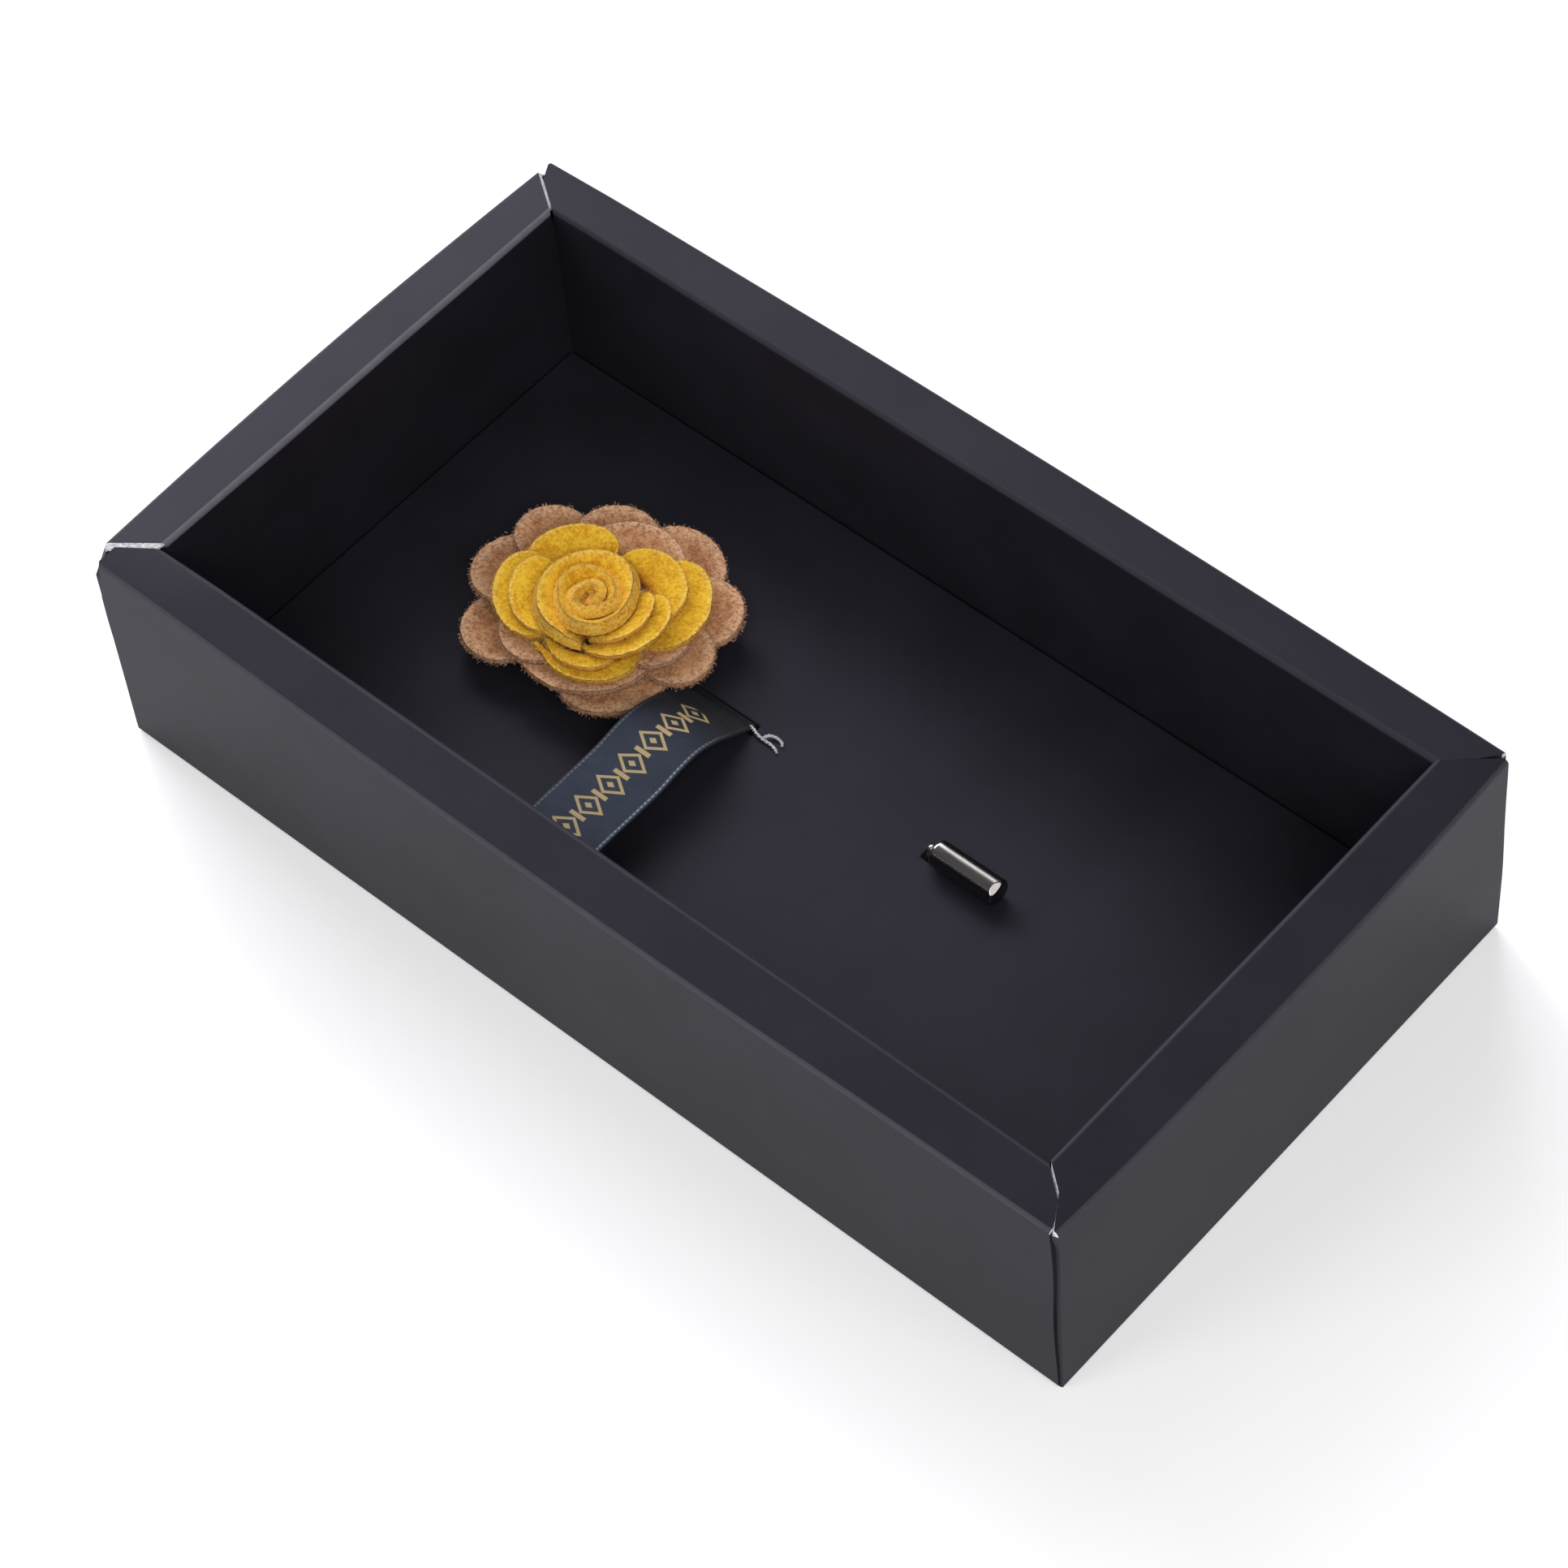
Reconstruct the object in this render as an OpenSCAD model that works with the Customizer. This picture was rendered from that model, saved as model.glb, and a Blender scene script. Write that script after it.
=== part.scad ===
// Felt flower lapel pin in the open tray of its gift box.
// +Z is up, +X runs along the tray and the flower lies at the -X end.
// The origin is the middle of the tray's underside.

/* [Tray] */
// Length of the tray over its bottom folds
box_l = 180; // [160:1:220]
// Width of the tray over its bottom folds
box_w = 98; // [94:1:120]
// Height of the outer walls
box_h = 41; // [34:0.5:60]
// Thickness of the folded card
card_t = 1; // [0.8:0.1:1.4]
// Width of the rim on top of each double wall
rim_w = 8.6; // [7:0.2:10]
// Height that the rim gains towards its inner fold
rim_rise = 0.9; // [0:0.1:2]
// Outward lean of each outer wall at its top
wall_lean = 1; // [0.4:0.1:2]
// Radius of the long folds of the rim
fold_r = 1.3; // [0.8:0.1:1.6]
// Width of the joint between two rims at a corner
mitre_gap = 0.6; // [0.3:0.1:1]
// Width of the square end that each long rim has at a corner
rim_end = 3.6; // [2.8:0.2:5]
// Setback of the end of each long wall
end_back = 2.4; // [2:0.1:3]
// Gap between two outer walls at a corner
corner_gap = 0.6; // [0.4:0.1:1.5]

/* [Insert] */
// Height of the top of the insert card
insert_h = 10.2; // [8.5:0.1:14]
// Gap between separate pieces that rest on or in each other
piece_gap = 0.1; // [0.05:0.01:0.2]
// Gap between the insert card and the walls
insert_gap = 0.4; // [0.2:0.1:0.8]
// Room around whatever passes through a slit
slit_room = 0.4; // [0.2:0.1:0.8]

/* [Flower] */
// Middle of the flower along the tray
flower_x = -40.4; // [-50:0.2:-36]
// Middle of the flower across the tray
flower_y = 3; // [-4:0.2:6]
// Reach of the longest petal
flower_r = 22.8; // [20:0.2:26]
// Thickness of the felt
felt_t = 1; // [0.8:0.05:1.2]
// Thickness of the rolled strip in the middle
roll_t = 1.25; // [1:0.05:1.5]
// Turns of the rolled strip
roll_turns = 3; // [2.6:0.1:3.2]
// Offset of the rolled strip from the middle, along the tray
core_x = 1; // [0:0.1:1.5]
// Offset of the rolled strip from the middle, towards the front
core_y = 2.7; // [1:0.1:3]
// Radius of the backing disc
disc_r = 10; // [8:0.2:12]
// Thickness of the backing disc
disc_t = 2; // [1.8:0.1:2.1]

/* [Pin] */
// Diameter of the needle
needle_d = 1; // [0.8:0.05:1.2]
// Place of the needle across the tray
needle_y = 2.4; // [1.8:0.1:2.6]
// Length along the tray in which the needle goes down through the insert
dip_run = 2.6; // [2.2:0.1:3]
// Length along the tray in which the needle comes up to the stopper
rise_run = 1.1; // [1:0.1:1.6]
// Inner end of the stopper along the tray
stopper_x = 24.6; // [10:0.2:40]
// Length of the stopper
stopper_l = 12; // [10:0.2:16]
// Diameter of the stopper
stopper_d = 4.3; // [3.6:0.1:6]
// Chamfer at each end of the stopper
stopper_edge = 0.85; // [0.4:0.05:1.2]
// Depth of the bore in the stopper
bore_deep = 9.2; // [8.5:0.1:9.4]
// Gap around the needle in a bore
bore_fit = 0.07; // [0.04:0.01:0.1]

/* [Ribbon] */
// Width of the ribbon
ribbon_w = 13; // [8:0.5:18]
// Thickness of the ribbon
ribbon_t = 0.8; // [0.6:0.1:1]
// Height of the ribbon's arch over the insert
ribbon_rise = 6.5; // [5:0.1:9]
// Distance from the tray's front inner face to the ribbon's front slit
ribbon_front = 4.1; // [3.6:0.1:8]
// Place of the ribbon's back slit
ribbon_y = 4.2; // [4:0.1:4.6]
// Length of each ribbon end below the insert
ribbon_tail = 4.5; // [3:0.1:5]

/* [Hidden] */

card_colour = [0.13, 0.13, 0.16];
tan_colour = [0.69, 0.46, 0.32];
yellow_colour = [0.93, 0.7, 0.13];
ribbon_colour = [0.12, 0.16, 0.25];
metal_colour = [0.62, 0.62, 0.64];

low_x = box_l / 2;
low_y = box_w / 2;
top_x = low_x + wall_lean;
top_y = low_y + wall_lean;
in_x = top_x - rim_w;
in_y = top_y - rim_w;
rim_top = box_h + rim_rise;
low_fold = 0.8 * card_t;
rim_drop = 1.6 * card_t;
arc_steps = 4;

insert_x = in_x - insert_gap;
insert_y = in_y - insert_gap;
insert_low = card_t + piece_gap;
insert_under = insert_h - card_t;

disc_low = insert_h + piece_gap;
disc_mid = disc_low + disc_t / 2;
needle_r = needle_d / 2;
bore_r = needle_r + bore_fit;
needle_low = insert_under - needle_r - 3 * piece_gap;
needle_in = flower_x + 0.5 * disc_r;
dip_x = flower_x + disc_r + needle_d;
stopper_r = stopper_d / 2;
stopper_z = insert_h + piece_gap / 2 + stopper_r;
rise_x = stopper_x - rise_run - 1.2 * needle_r;
mouth_r = 2.3 * needle_r;
mouth_deep = 1.4 * needle_r;
point_l = 1.2 * needle_d;
needle_tip = stopper_x + bore_deep - 2 * piece_gap;
bend_r = 1.34 * needle_r;

ribbon_left = flower_x + 0.7 * flower_r;
ribbon_mid = ribbon_left + ribbon_w / 2;
ribbon_run = ribbon_y + in_y - ribbon_front;
round_fn = 48;

function unit(v) = v / norm(v);

// A corner b between a and c, rounded to radius r.
function corner(a, b, c, r) =
    r <= 0 ? [b] :
    let (
        p = unit(a - b),
        q = unit(c - b),
        half = acos(p * q) / 2,
        mid = b + unit(p + q) * r / sin(half),
        s = b + p * r / tan(half) - mid,
        e = b + q * r / tan(half) - mid,
        start = atan2(s.y, s.x),
        turn = atan2(s.x * e.y - s.y * e.x, s * e)
    )
    [for (i = [0:arc_steps])
        mid + r * [cos(start + turn * i / arc_steps), sin(start + turn * i / arc_steps)]];

function rounded(pts, radii) =
    let (n = len(pts))
    [for (i = [0:n - 1])
        each corner(pts[(i + n - 1) % n], pts[i], pts[(i + 1) % n], radii[i])];

// Section of a double wall: out is the foot of its outer face, in its inner face.
module wall_section(out, in) {
    inner_r = max(fold_r - card_t, 0.2);
    difference() {
        polygon(rounded(
            [[out, 0], [out + wall_lean, box_h], [in, rim_top], [in, 0]],
            [low_fold, fold_r, fold_r, 0]));
        polygon(rounded(
            [[out - card_t, card_t], [out + wall_lean - card_t, box_h - card_t],
             [in + card_t, rim_top - card_t], [in + card_t, card_t]],
            [0, inner_r, inner_r, 0]));
    }
}

// Line of a mitre in plan, where it crosses x.
function mitre_y(x) = in_y + (x - in_x) * (top_y - rim_end - in_y) / (top_x - in_x);

module long_wall() {
    end_x = top_x - end_back;
    intersection() {
        rotate([90, 0, 90])
            linear_extrude(2 * top_x, center = true)
                wall_section(low_y, in_y);
        union() {
            translate([0, 0, -1])
                linear_extrude(rim_top + 2)
                    polygon([[-in_x, in_y - 1], [in_x, in_y - 1], [in_x, in_y],
                             [end_x, mitre_y(end_x)], [end_x, top_y + 1],
                             [-end_x, top_y + 1], [-end_x, mitre_y(end_x)], [-in_x, in_y]]);
            inner_corner(in_x + card_t / 2, in_y + 1.5 * card_t);
        }
    }
}

// The short walls stop at the mitre's gap, and their inner face meets the long one below it.
module short_wall() {
    far = top_x + 1;
    strip_y = low_y - corner_gap;
    stop = mitre_gap;
    intersection() {
        rotate([90, 0, 0])
            linear_extrude(2 * top_y, center = true)
                wall_section(low_x, in_x);
        union() {
            translate([0, 0, -1])
                linear_extrude(rim_top + 2)
                    polygon([[in_x - 1, stop - in_y], [in_x, stop - in_y],
                             [far, stop - mitre_y(far)], [far, mitre_y(far) - stop],
                             [in_x, in_y - stop], [in_x - 1, in_y - stop]]);
            translate([low_x - card_t - wall_lean / 4, -strip_y, -1])
                cube([2 * card_t + wall_lean + 1, 2 * strip_y, box_h - rim_drop + 1]);
            inner_corner(in_x + 1.5 * card_t, in_y + card_t / 2);
        }
    }
}

// Room below the rims in which two inner faces meet at their corners.
module inner_corner(x, y) {
    translate([-x, -y, -1])
        cube([2 * x, 2 * y, box_h - rim_drop + 1]);
}

module tray() {
    color(card_colour)
    union() {
        translate([-low_x + low_fold, -low_y + low_fold, 0])
            cube([2 * (low_x - low_fold), 2 * (low_y - low_fold), card_t]);
        for (s = [0, 1])
            mirror([0, s, 0])
                long_wall();
        for (s = [0, 1])
            mirror([s, 0, 0])
                short_wall();
    }
}

// A slit through the insert card, from x0 to x1 and from y0 to y1.
module slit(x0, x1, y0, y1) {
    translate([x0, y0, insert_under - 1])
        cube([x1 - x0, y1 - y0, card_t + 2]);
}

module insert_card() {
    needle_side = needle_r + slit_room;
    back = ribbon_y + slit_room;
    front = ribbon_y - ribbon_run - slit_room;
    color(card_colour)
    difference() {
        translate([-insert_x, -insert_y, insert_low])
            cube([2 * insert_x, 2 * insert_y, insert_h - insert_low]);
        translate([-insert_x + card_t, -insert_y + card_t, 0])
            cube([2 * (insert_x - card_t), 2 * (insert_y - card_t), insert_under]);
        slit(dip_x - slit_room, dip_x + dip_run + slit_room / 2,
             needle_y - needle_side, needle_y + needle_side);
        slit(rise_x - slit_room, rise_x + rise_run + slit_room / 2,
             needle_y - needle_side, needle_y + needle_side);
        slit(ribbon_left - slit_room, ribbon_left + ribbon_w + slit_room,
             ribbon_y - ribbon_t - 2 * slit_room, back);
        slit(ribbon_left - slit_room, ribbon_left + ribbon_w + slit_room,
             front, front + ribbon_t + 2 * slit_room);
    }
}

// Outer line of the ribbon between its slits: [share of the run, share of the rise].
ARCH = [
    [0, 0.04], [0.03, 0.13], [0.1, 0.43], [0.19, 0.78], [0.285, 0.99],
    [0.385, 0.98], [0.49, 0.88], [0.63, 0.87], [0.8, 0.87], [0.9, 0.76],
    [0.965, 0.47], [0.99, 0.18], [1, 0.04]
];

function arch_line() = concat(
    [[ribbon_y, insert_h - ribbon_tail]],
    [for (a = ARCH) [ribbon_y - a[0] * ribbon_run, insert_h + a[1] * ribbon_rise]],
    [[ribbon_y - ribbon_run, insert_h - ribbon_tail]]);

// A line set off by d to its left, with square ends.
function beside(line, d) =
    let (n = len(line))
    [for (i = [0:n - 1])
        let (
            p = unit(line[min(i + 1, n - 1)] - line[max(i - 1, 0)])
        )
        line[i] + d * [-p.y, p.x]];

module ribbon() {
    line = arch_line();
    under = beside(line, ribbon_t);
    n = len(line);
    color(ribbon_colour)
    translate([ribbon_mid, 0, 0])
        rotate([90, 0, 90])
            linear_extrude(ribbon_w, center = true)
                polygon(concat(line, [for (i = [n - 1:-1:0]) under[i]]));
}

// Round wire along the line from a to b, in the plane of X and Z. It stops short
// of its ends by cut_a and cut_b, and tip is the length of its point.
module wire(a, b, cut_a, cut_b, tip) {
    dir = unit(b - a);
    from = a + dir * cut_a;
    l = norm(b - a) - cut_a - cut_b;
    end_r = tip > 0 ? 0.15 * needle_r : needle_r;
    translate([from.x, 0, from.y])
        rotate([0, 90 - atan2(dir.y, dir.x), 0])
            rotate_extrude($fn = round_fn)
                polygon([[0, 0], [needle_r, 0], [needle_r, l - tip], [end_r, l], [0, l]]);
}

module needle() {
    path = [
        [needle_in, disc_mid], [dip_x, disc_mid], [dip_x + dip_run, needle_low],
        [rise_x, needle_low], [rise_x + rise_run, stopper_z], [needle_tip, stopper_z]
    ];
    last = len(path) - 1;
    cut = 0.8 * needle_r;
    color(metal_colour)
    translate([0, needle_y, 0])
        union() {
            for (i = [0:last - 1])
                wire(path[i], path[i + 1], i == 0 ? 0 : cut, i == last - 1 ? 0 : cut,
                     i == last - 1 ? point_l : 0);
            for (i = [1:last - 1])
                translate([path[i].x, 0, path[i].y])
                    sphere(r = bend_r, $fn = round_fn);
        }
}

module stopper() {
    color(metal_colour)
    translate([stopper_x, needle_y, stopper_z])
        rotate([0, 90, 0])
            difference() {
                rotate_extrude($fn = round_fn)
                    polygon([[0, 0], [stopper_r - stopper_edge, 0], [stopper_r, stopper_edge],
                             [stopper_r, stopper_l - stopper_edge],
                             [stopper_r - stopper_edge, stopper_l], [0, stopper_l]]);
                translate([0, 0, -1])
                    cylinder(h = bore_deep + 1, r = bore_r, $fn = round_fn);
                translate([0, 0, -0.01])
                    cylinder(h = mouth_deep, r1 = mouth_r, r2 = bore_r, $fn = round_fn);
            }
}

module backing_disc() {
    color(tan_colour)
    difference() {
        translate([flower_x, flower_y, disc_low])
            cylinder(h = disc_t, r = disc_r, $fn = 2 * round_fn);
        translate([needle_in - needle_r, needle_y, disc_mid])
            rotate([0, 90, 0])
                cylinder(h = disc_r, r = bore_r, $fn = round_fn);
    }
}

// Petals, one row each. Columns: facing, half spread and skew of the lobe; foot
// radius, foot height and tip height in thicknesses of felt; reach as a share of
// flower_r; tilt from side to side in thicknesses; side reach as a share of the
// reach; drift towards the rolled strip as a share of its offset.
OUTER = [
    //az, half, skew, foot_r, foot_z, tip_z, reach, tilt, side, drift
    [158, 25, 0, 1.5, 4.7, 5.4, 1.00, 1.05, 0.45, 0],
    [122, 29, 0, 1.5, 4.7, 5.3, 0.895, 1.00, 0.50, 0],
    [76, 32, 0, 1.5, 4.7, 5.2, 0.915, 1.00, 0.55, 0],
    [38, 25, 0, 1.5, 4.7, 5.2, 0.945, 1.05, 0.50, 0],
    [5, 24, 0, 1.5, 4.7, 5.2, 0.875, 0.90, 0.50, 0],
    [-40, 42, 0, 1.5, 2.7, 2.7, 0.763, 0, 0.62, 0],
    [224, 27, 0, 1.5, 4.1, 4.2, 0.92, 0.50, 0.50, 0],
    [187, 31, 0, 1.5, 4.7, 5.2, 0.99, 1.25, 0.50, 0]
];
INNER = [
    [-66, 58, 0, 1.5, 6.2, 6.2, 0.71, 0, 0.70, 0],
    [-112, 34, 0, 1.5, 7.5, 7.5, 0.71, 0, 0.50, 0],
    [2, 34, 0, 1.5, 7.5, 7.5, 0.71, 0, 0.50, 0],
    [100, 44, 0, 1.5, 7.5, 7.5, 0.71, 0, 0.60, 0]
];
YELLOW = [
    [152, 37, 0.2, 10.1, 8.5, 9.3, 0.71, -0.50, 0.60, 0.52],
    [214, 40, -0.35, 9.2, 8.5, 10.4, 0.715, -0.30, 0.60, 0.52],
    [216, 43, -0.4, 7.7, 8.5, 11.5, 0.583, -0.20, 0.60, 0.70],
    [62, 45, 0, 8.7, 8.5, 10.2, 0.618, 0, 0.62, 0.70],
    [36, 42, 0.3, 10.2, 8.55, 9.0, 0.754, 0, 0.60, 0.52],
    [-60, 45, 0.3, 10.7, 8.55, 8.7, 0.618, 0, 0.62, 0.52],
    [-64, 35, 0.3, 8.8, 8.5, 9.9, 0.535, -0.10, 0.66, 0.70],
    [-5, 53, 0.3, 7.2, 8.5, 11.3, 0.545, 0, 0.60, 0.85],
    [0, 50, 0.3, 6.0, 8.5, 12.2, 0.425, 0, 0.66, 0.88]
];
across = 12;
along = 6;

// One point of a petal: u runs from side to side, s from foot to tip, face is -1 below and 1 above.
function petal_point(p, u, s, face) =
    let (
        round = sqrt(max(0, 1 - u * u)),
        lobe = p[8] + (1 - p[8]) * round,
        flat = p[5] - p[4] < 0.75,
        rise = (p[5] - p[4]) * felt_t * (p[9] == 0 ? 1 : 0.55 + 0.45 * round),
        foot = p[3] * felt_t,
        run = max(p[6] * flower_r * lobe - foot, 0.7 * felt_t),
        th = 90 * s,
        n = flat ? [0, 1] : unit([-rise * cos(th), run * sin(th) + 0.001]),
        off = (p[7] * u + face / 2) * felt_t,
        r = foot + run * (1 - cos(th)) + n.x * off,
        z = p[4] * felt_t + rise * sin(th) + n.y * off,
        az = p[0] + p[1] * (u + p[2] * (1 - u * u)),
        mid = p[9] > 0 ? [core_x, -core_y * p[9]] : [0, 0]
    )
    [flower_x + mid.x + r * cos(az), flower_y + mid.y + r * sin(az), insert_h + z];

// Triangles that close a folded sheet of a by b cells, whose two faces are lists of rows.
function sheet_faces(a, b) =
    let (
        n = (a + 1) * (b + 1),
        rim = concat(
            [for (i = [0:a - 1]) i * (b + 1)],
            [for (j = [0:b - 1]) a * (b + 1) + j],
            [for (i = [a:-1:1]) i * (b + 1) + b],
            [for (j = [b:-1:1]) j])
    )
    concat(
        [for (i = [0:a - 1]) for (j = [0:b - 1])
            let (q = i * (b + 1) + j)
            each [[q, q + b + 2, q + b + 1], [q, q + 1, q + b + 2]]],
        [for (i = [0:a - 1]) for (j = [0:b - 1])
            let (q = n + i * (b + 1) + j)
            each [[q, q + b + 1, q + b + 2], [q, q + b + 2, q + 1]]],
        [for (k = [0:len(rim) - 1])
            let (p = rim[k], q = rim[(k + 1) % len(rim)])
            each [[p, q + n, p + n], [p, q, q + n]]]);

module petal(p, colour) {
    color(colour)
    polyhedron(
        points = [for (face = [-1, 1]) for (i = [0:across]) for (j = [0:along])
            petal_point(p, sin(180 * i / across - 90), j / along, face)],
        faces = sheet_faces(across, along),
        convexity = 6);
}

// The rolled strip leans outward, and each turn reaches further and sits lower.
roll_step = 20;
roll_rows = 4;
roll_foot = 0.9;
roll_foot_pitch = 1.47;
roll_rim = 1.2 / 22.8;
roll_rim_pitch = 2.5 / 22.8;
roll_low = 8.2;
roll_top = 13.4;
roll_drop = 0.45;
roll_end = -60;
roll_lean = 58;

function roll_point(i, j, face) =
    let (
        q = i / roll_step,
        az = roll_end - 360 * (roll_turns - q),
        wave = 0.25 * sin(2 * 468 * q) * min(q, 1),
        foot = (roll_foot + roll_foot_pitch * q) * felt_t,
        rim = (roll_rim + roll_rim_pitch * q) * flower_r + wave,
        top = (roll_top - roll_drop * q + 0.2 * sin(936 * q + 57)) * felt_t,
        run = (rim - foot) / (1 - cos(roll_lean)),
        rise = (top - roll_low * felt_t) / sin(roll_lean),
        th = roll_lean * j / roll_rows,
        n = unit([-rise * cos(th), run * sin(th)]),
        r = foot + run * (1 - cos(th)) + n.x * face * roll_t / 2,
        z = roll_low * felt_t + rise * sin(th) + n.y * face * roll_t / 2
    )
    [flower_x + core_x + r * cos(az), flower_y - core_y + r * sin(az), insert_h + z];

module rolled_centre() {
    steps = floor(roll_turns * roll_step);
    color(yellow_colour)
    polyhedron(
        points = [for (face = [-1, 1]) for (i = [0:steps]) for (j = [0:roll_rows])
            roll_point(i, j, face)],
        faces = sheet_faces(steps, roll_rows),
        convexity = 10);
}

module outer_petal_1() petal(OUTER[0], tan_colour);
module outer_petal_2() petal(OUTER[1], tan_colour);
module outer_petal_3() petal(OUTER[2], tan_colour);
module outer_petal_4() petal(OUTER[3], tan_colour);
module outer_petal_5() petal(OUTER[4], tan_colour);
module outer_petal_6() petal(OUTER[5], tan_colour);
module outer_petal_7() petal(OUTER[6], tan_colour);
module outer_petal_8() petal(OUTER[7], tan_colour);
module inner_petal_1() petal(INNER[0], tan_colour);
module inner_petal_2() petal(INNER[1], tan_colour);
module inner_petal_3() petal(INNER[2], tan_colour);
module inner_petal_4() petal(INNER[3], tan_colour);
module yellow_petal_1() petal(YELLOW[0], yellow_colour);
module yellow_petal_2() petal(YELLOW[1], yellow_colour);
module yellow_petal_3() petal(YELLOW[2], yellow_colour);
module yellow_petal_4() petal(YELLOW[3], yellow_colour);
module yellow_petal_5() petal(YELLOW[4], yellow_colour);
module yellow_petal_6() petal(YELLOW[5], yellow_colour);
module yellow_petal_7() petal(YELLOW[6], yellow_colour);
module yellow_petal_8() petal(YELLOW[7], yellow_colour);
module yellow_petal_9() petal(YELLOW[8], yellow_colour);

tray();
insert_card();
ribbon();
needle();
stopper();
backing_disc();
outer_petal_1();
outer_petal_2();
outer_petal_3();
outer_petal_4();
outer_petal_5();
outer_petal_6();
outer_petal_7();
outer_petal_8();
inner_petal_1();
inner_petal_2();
inner_petal_3();
inner_petal_4();
yellow_petal_1();
yellow_petal_2();
yellow_petal_3();
yellow_petal_4();
yellow_petal_5();
yellow_petal_6();
yellow_petal_7();
yellow_petal_8();
yellow_petal_9();
rolled_centre();
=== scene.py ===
import math
import random

import bmesh
import bpy
from mathutils import Matrix, Vector, noise


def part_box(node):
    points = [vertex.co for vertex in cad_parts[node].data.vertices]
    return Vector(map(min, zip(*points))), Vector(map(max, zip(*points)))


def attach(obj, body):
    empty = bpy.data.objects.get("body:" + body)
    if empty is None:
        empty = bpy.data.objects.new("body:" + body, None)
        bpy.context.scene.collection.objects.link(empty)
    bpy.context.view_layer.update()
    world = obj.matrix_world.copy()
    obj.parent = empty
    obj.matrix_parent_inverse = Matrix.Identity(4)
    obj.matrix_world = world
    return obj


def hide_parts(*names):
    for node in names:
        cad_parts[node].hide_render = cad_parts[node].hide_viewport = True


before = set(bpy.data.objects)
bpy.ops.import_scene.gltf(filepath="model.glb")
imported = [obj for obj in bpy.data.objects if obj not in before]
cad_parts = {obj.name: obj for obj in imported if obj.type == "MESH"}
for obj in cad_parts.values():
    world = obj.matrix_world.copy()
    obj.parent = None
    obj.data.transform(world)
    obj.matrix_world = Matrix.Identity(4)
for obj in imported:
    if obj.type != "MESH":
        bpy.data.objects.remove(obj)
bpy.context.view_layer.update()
mm = 0.001  # sizes below are in millimetres, as in the source of the solids
scene = bpy.context.scene
mainBody = "tray_and_flower"

# Places that the solids give, in millimetres
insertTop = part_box("insert_card")[1].z / mm
discLow, discHigh = (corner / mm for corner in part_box("backing_disc"))
flowerMid = (discLow + discHigh) / 2
ribbonLow, ribbonHigh = (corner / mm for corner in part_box("ribbon"))
print("frame loaded")

# Camera
photoView = {
    "place": (321.58, -312.99, 619.40),  # from the middle of the tray's underside
    "turn": 45.996,  # degrees round the tray
    "height": 53.61,  # degrees above the table
    "roll": -5.94,
    "lens": 119.54,
    "sensor": 36,
    "clip": (0.05, 20),  # nearest and farthest that it sees, in metres
}


def makeCamera(v):
    camera = bpy.data.objects.new("photoCamera", bpy.data.cameras.new("photoCamera"))
    scene.collection.objects.link(camera)
    camera.data.lens = v["lens"]
    camera.data.sensor_width = v["sensor"]
    camera.data.clip_start, camera.data.clip_end = v["clip"]
    spin = (Matrix.Rotation(math.radians(v["turn"]), 4, "Z")
            @ Matrix.Rotation(math.radians(90 - v["height"]), 4, "X")
            @ Matrix.Rotation(math.radians(v["roll"]), 4, "Z"))
    camera.matrix_world = Matrix.Translation(Vector(v["place"]) * mm) @ spin
    scene.camera = camera


makeCamera(photoView)
print("camera ready")


# Shader helpers
class Flow:
    # one socket of a material; sums on it add Math nodes
    def __init__(self, tree, socket):
        self.tree = tree
        self.socket = socket

    def node(self, kind, settings, values, out=0):
        made = self.tree.nodes.new(kind)
        for key, value in settings.items():
            setattr(made, key, value)
        for key, value in values.items():
            if isinstance(value, Flow):
                self.tree.links.new(value.socket, made.inputs[key])
            else:
                made.inputs[key].default_value = value
        return Flow(self.tree, made.outputs[out])

    def maths(self, operation, *terms):
        return self.node("ShaderNodeMath", {"operation": operation}, dict(enumerate((self, *terms))))

    def __add__(self, other):
        return self.maths("ADD", other)

    __radd__ = __add__

    def __mul__(self, other):
        return self.maths("MULTIPLY", other)

    __rmul__ = __mul__

    def __sub__(self, other):
        return self.maths("SUBTRACT", other)

    def __rsub__(self, other):
        return self.node("ShaderNodeMath", {"operation": "SUBTRACT"}, {0: other, 1: self})

    def __truediv__(self, other):
        return self.maths("DIVIDE", other)

    def __abs__(self):
        return self.maths("ABSOLUTE")

    def clipped(self):
        return self.node("ShaderNodeClamp", {}, {0: self})

    def between(self, low, high):  # 0 at low, 1 at high, smooth between them
        return self.node("ShaderNodeMapRange", {"interpolation_type": "SMOOTHSTEP"},
                         {"Value": self, "From Min": low, "From Max": high})

    def grain(self, size, detail=3, rough=0.55, stretch=None):
        # noise with features of that many millimetres
        place = self.stretched(stretch) if stretch else self
        return self.node("ShaderNodeTexNoise", {},
                         {"Vector": place, "Scale": 1 / size, "Detail": detail, "Roughness": rough})

    def stretched(self, factors):
        return self.node("ShaderNodeVectorMath", {"operation": "MULTIPLY"}, {0: self, 1: factors})

    def blended(self, first, second):  # mixes two colours by this value
        return self.node("ShaderNodeMix", {"data_type": "RGBA"}, {0: self, 6: first, 7: second}, out=2)

    def bump(self, depth, strength=1.0, normal=None):  # depth in millimetres
        values = {"Height": self, "Strength": strength, "Distance": depth * mm}
        if normal:
            values["Normal"] = normal
        return self.node("ShaderNodeBump", {}, values)


def linear(level):  # a level of 0 to 255 as Blender counts it
    v = level / 255
    return v / 12.92 if v < 0.04045 else ((v + 0.055) / 1.055) ** 2.4


def tint(*levels):
    return tuple(linear(level) for level in levels) + (1,)


def darker(colour, share):
    return tuple(share * c for c in colour[:3]) + (1,)


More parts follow.
